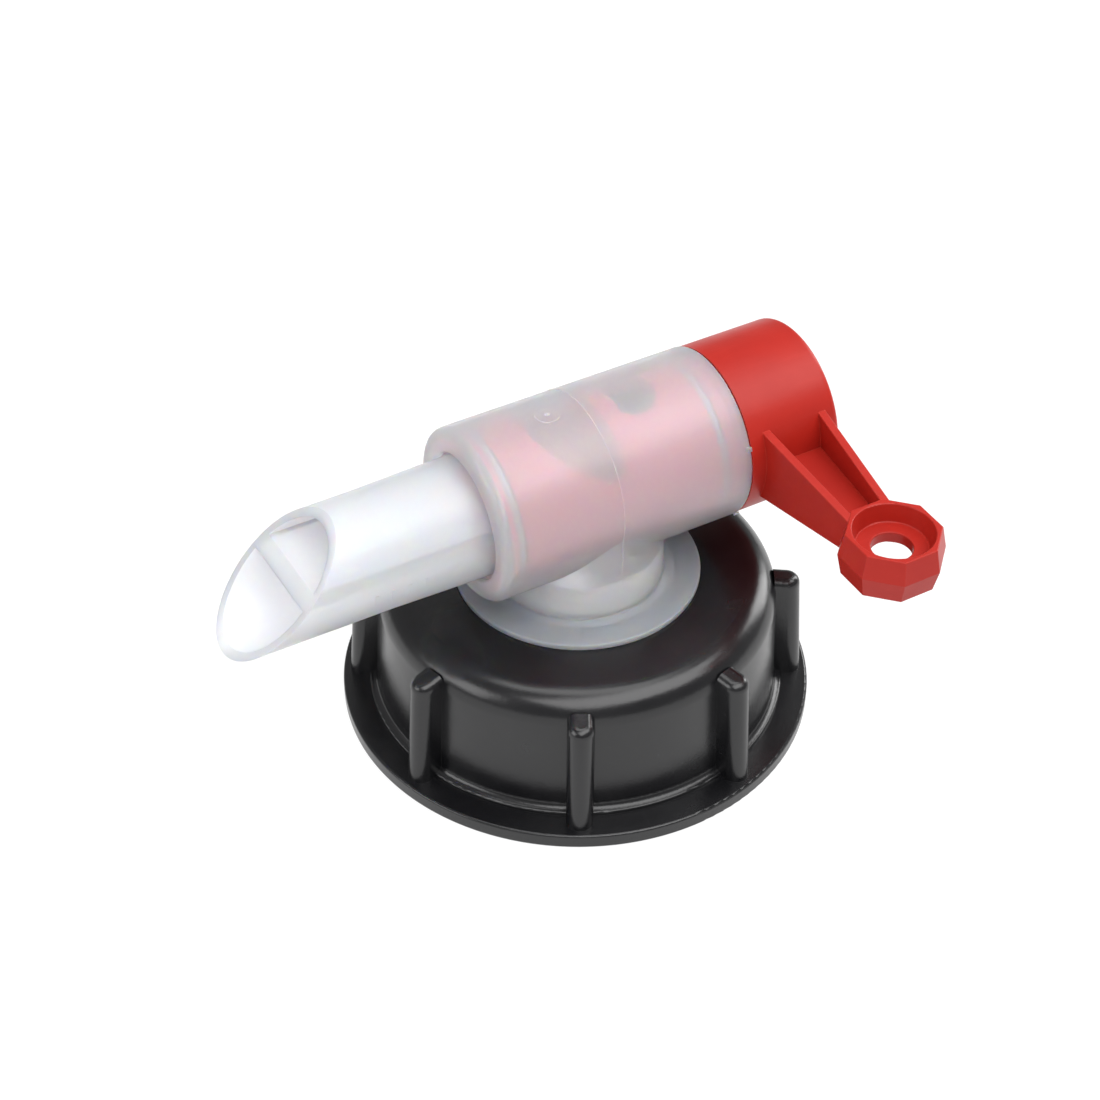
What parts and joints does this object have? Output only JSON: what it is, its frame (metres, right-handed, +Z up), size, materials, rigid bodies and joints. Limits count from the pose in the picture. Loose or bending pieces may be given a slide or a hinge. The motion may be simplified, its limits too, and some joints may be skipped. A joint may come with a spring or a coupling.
{
  "type": "vented canister dispensing tap",
  "caption": "Vented dispensing tap with a translucent barrel and slanted spout, red lever plug and black ribbed screw cap.",
  "frame": {"origin": "centre of the cap's bottom rim, where the container's neck enters", "axes": "+Z up along the cap's axis, -X along the barrel to the spout, -Y to the lever when the tap is shut"},
  "size_m": [0.1002, 0.0844, 0.0572],
  "materials": {
    "cap_black": "satin black moulded polyethylene",
    "tap_translucent": "satin translucent natural polyethylene",
    "natural_plastic": "natural polyethylene",
    "plug_red": "satin red moulded polypropylene",
    "gasket_foam": "closed-cell foam",
    "seal_rubber": "translucent silicone"
  },
  "bodies": {
    "cap": {"screw_cap": "cap_black"},
    "tap": {"tap_body": "tap_translucent", "inlet_flange": "natural_plastic", "cap_gasket": "gasket_foam", "neck_o_ring": "seal_rubber", "breather_tube": "natural_plastic"},
    "plug": {"rotary_plug": "plug_red", "front_o_ring": "seal_rubber", "rear_o_ring": "seal_rubber"}
  },
  "joints": [
    {"name": "tap_swivel", "type": "hinge", "parent": "cap", "child": "tap", "pos_m": [0, 0, 0.04294], "axis": [0, 0, 1], "continuous": true},
    {"name": "plug_turn", "type": "hinge", "parent": "tap", "child": "plug", "pos_m": [0, 0, 0.04294], "axis": [-1, 0, 0], "range_deg": [0, 180]}
  ]
}
